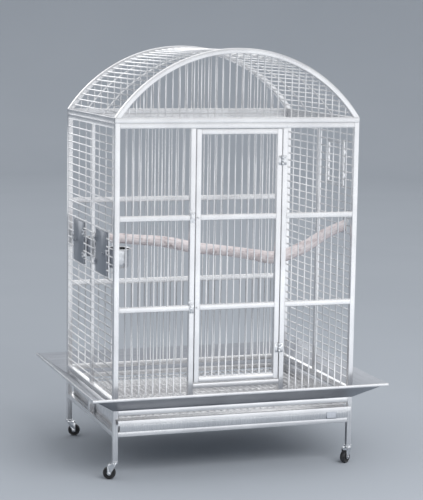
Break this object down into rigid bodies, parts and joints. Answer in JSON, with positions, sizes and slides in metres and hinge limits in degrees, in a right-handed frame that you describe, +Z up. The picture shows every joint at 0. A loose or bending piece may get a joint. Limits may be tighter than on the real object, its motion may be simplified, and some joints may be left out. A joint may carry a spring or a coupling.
{
  "type": "dome top parrot cage",
  "caption": "Large barred bird cage with an arched barrel roof, full-height front door, swing-out feeder doors, sloping seed skirt, slide-out tray and grate, and swivel casters.",
  "frame": {"origin": "on the floor under the middle of the cage", "axes": "+X to the right seen from the door, +Y to the back, +Z up"},
  "size_m": [1.484, 1.178, 2.028],
  "materials": {
    "tube_steel": "satin stainless tube, bar and tray",
    "sheet_steel": "brushed stainless sheet",
    "bright_fittings": "bright plated fittings",
    "wheel_rubber": "satin black",
    "branch_wood": "bare peeled branch"
  },
  "bodies": {
    "cage": {"stand_legs": "tube_steel", "stand_rails": "tube_steel", "stand_runners": "tube_steel", "corner_posts": "tube_steel", "front_jambs": "tube_steel", "front_rails": "tube_steel", "front_bars": "tube_steel", "back_rails": "tube_steel", "back_bars": "tube_steel", "side_rails": "tube_steel", "side_uprights": "tube_steel", "left_rods": "tube_steel", "right_rods": "tube_steel", "small_stiles": "tube_steel", "dome_rails": "tube_steel", "dome_side_rails": "tube_steel", "dome_arches": "tube_steel", "dome_bars": "tube_steel", "vault_rods": "tube_steel", "vault_hoops": "tube_steel", "skirt_front": "sheet_steel", "skirt_back": "sheet_steel", "skirt_left": "sheet_steel", "skirt_right": "sheet_steel", "hinge_leaves": "bright_fittings", "hinge_pins": "bright_fittings", "latch_plates": "bright_fittings", "perch_fixings": "bright_fittings", "caster_mounts": "bright_fittings", "perch": "branch_wood"},
    "front_door": {"door_stiles": "tube_steel", "door_rails": "tube_steel", "door_bars": "tube_steel", "door_hinge_straps": "bright_fittings", "latch_studs": "bright_fittings"},
    "upper_hook": {"latch_hook_upper": "bright_fittings"},
    "lower_hook": {"latch_hook_lower": "bright_fittings"},
    "front_feeder": {"feeder_door_front": "sheet_steel", "feeder_ring_front": "bright_fittings", "feeder_cup_front": "bright_fittings"},
    "rear_feeder": {"feeder_door_rear": "sheet_steel", "feeder_ring_rear": "bright_fittings", "feeder_cup_rear": "bright_fittings"},
    "front_feeder_button": {"feeder_latch_front": "bright_fittings"},
    "rear_feeder_button": {"feeder_latch_rear": "bright_fittings"},
    "access_hatch": {"access_door": "tube_steel"},
    "access_button": {"access_latch": "bright_fittings"},
    "drop_tray": {"tray": "tube_steel", "tray_pull": "sheet_steel"},
    "floor_grate": {"grate_frame": "tube_steel", "grate_wires": "tube_steel"},
    "fork_fl": {"caster_fork_fl": "bright_fittings"},
    "wheel_fl": {"caster_wheel_fl": "wheel_rubber"},
    "fork_fr": {"caster_fork_fr": "bright_fittings"},
    "wheel_fr": {"caster_wheel_fr": "wheel_rubber"},
    "fork_rl": {"caster_fork_rl": "bright_fittings"},
    "wheel_rl": {"caster_wheel_rl": "wheel_rubber"},
    "fork_rr": {"caster_fork_rr": "bright_fittings"},
    "wheel_rr": {"caster_wheel_rr": "wheel_rubber"}
  },
  "joints": [
    {"name": "front_door_hinge", "type": "hinge", "parent": "cage", "child": "front_door", "pos_m": [0.21575, -0.4633, 1.047], "axis": [0, 0, 1], "range_deg": [0, 115]},
    {"name": "upper_hook_pivot", "type": "hinge", "parent": "cage", "child": "upper_hook", "pos_m": [-0.2335, -0.4618, 1.234], "axis": [0, 1, 0], "range_deg": [0, 100]},
    {"name": "lower_hook_pivot", "type": "hinge", "parent": "cage", "child": "lower_hook", "pos_m": [-0.2335, -0.4618, 0.805], "axis": [0, 1, 0], "range_deg": [0, 100]},
    {"name": "front_feeder_hinge", "type": "hinge", "parent": "cage", "child": "front_feeder", "pos_m": [-0.6143, -0.118, 1.0525], "axis": [0, 0, -1], "range_deg": [0, 100]},
    {"name": "rear_feeder_hinge", "type": "hinge", "parent": "cage", "child": "rear_feeder", "pos_m": [-0.6143, 0.118, 1.0525], "axis": [0, 0, 1], "range_deg": [0, 100]},
    {"name": "front_feeder_turn", "type": "hinge", "parent": "cage", "child": "front_feeder_button", "pos_m": [-0.612, -0.32, 1.07129], "axis": [1, 0, 0], "range_deg": [0, 90]},
    {"name": "rear_feeder_turn", "type": "hinge", "parent": "cage", "child": "rear_feeder_button", "pos_m": [-0.612, 0.32, 1.07129], "axis": [-1, 0, 0], "range_deg": [0, 90]},
    {"name": "access_hinge", "type": "hinge", "parent": "cage", "child": "access_hatch", "pos_m": [0.6143, -0.29, 1.465], "axis": [0, 0, -1], "range_deg": [0, 110]},
    {"name": "access_turn", "type": "hinge", "parent": "cage", "child": "access_button", "pos_m": [0.612, -0.082, 1.48412], "axis": [-1, 0, 0], "range_deg": [0, 90]},
    {"name": "tray_slide", "type": "slide", "parent": "cage", "child": "drop_tray", "axis": [0, -1, 0], "range_m": [0, 0.6]},
    {"name": "grate_slide", "type": "slide", "parent": "cage", "child": "floor_grate", "axis": [0, -1, 0], "range_m": [0, 0.6]},
    {"name": "swivel_fl", "type": "hinge", "parent": "cage", "child": "fork_fl", "pos_m": [-0.5975, -0.4445, 0.076], "axis": [0, 0, 1], "continuous": true},
    {"name": "roll_fl", "type": "hinge", "parent": "fork_fl", "child": "wheel_fl", "pos_m": [-0.62099, -0.43595, 0.031], "axis": [-0.342, -0.9397, 0], "continuous": true},
    {"name": "swivel_fr", "type": "hinge", "parent": "cage", "child": "fork_fr", "pos_m": [0.5975, -0.4445, 0.076], "axis": [0, 0, 1], "continuous": true},
    {"name": "roll_fr", "type": "hinge", "parent": "fork_fr", "child": "wheel_fr", "pos_m": [0.57702, -0.45884, 0.031], "axis": [0.5736, -0.8192, 0], "continuous": true},
    {"name": "swivel_rl", "type": "hinge", "parent": "cage", "child": "fork_rl", "pos_m": [-0.5975, 0.4445, 0.076], "axis": [0, 0, 1], "continuous": true},
    {"name": "roll_rl", "type": "hinge", "parent": "fork_rl", "child": "wheel_rl", "pos_m": [-0.57401, 0.43595, 0.031], "axis": [0.342, 0.9397, 0], "continuous": true},
    {"name": "swivel_rr", "type": "hinge", "parent": "cage", "child": "fork_rr", "pos_m": [0.5975, 0.4445, 0.076], "axis": [0, 0, 1], "continuous": true},
    {"name": "roll_rr", "type": "hinge", "parent": "fork_rr", "child": "wheel_rr", "pos_m": [0.60605, 0.46799, 0.031], "axis": [-0.9397, 0.342, 0], "continuous": true}
  ]
}
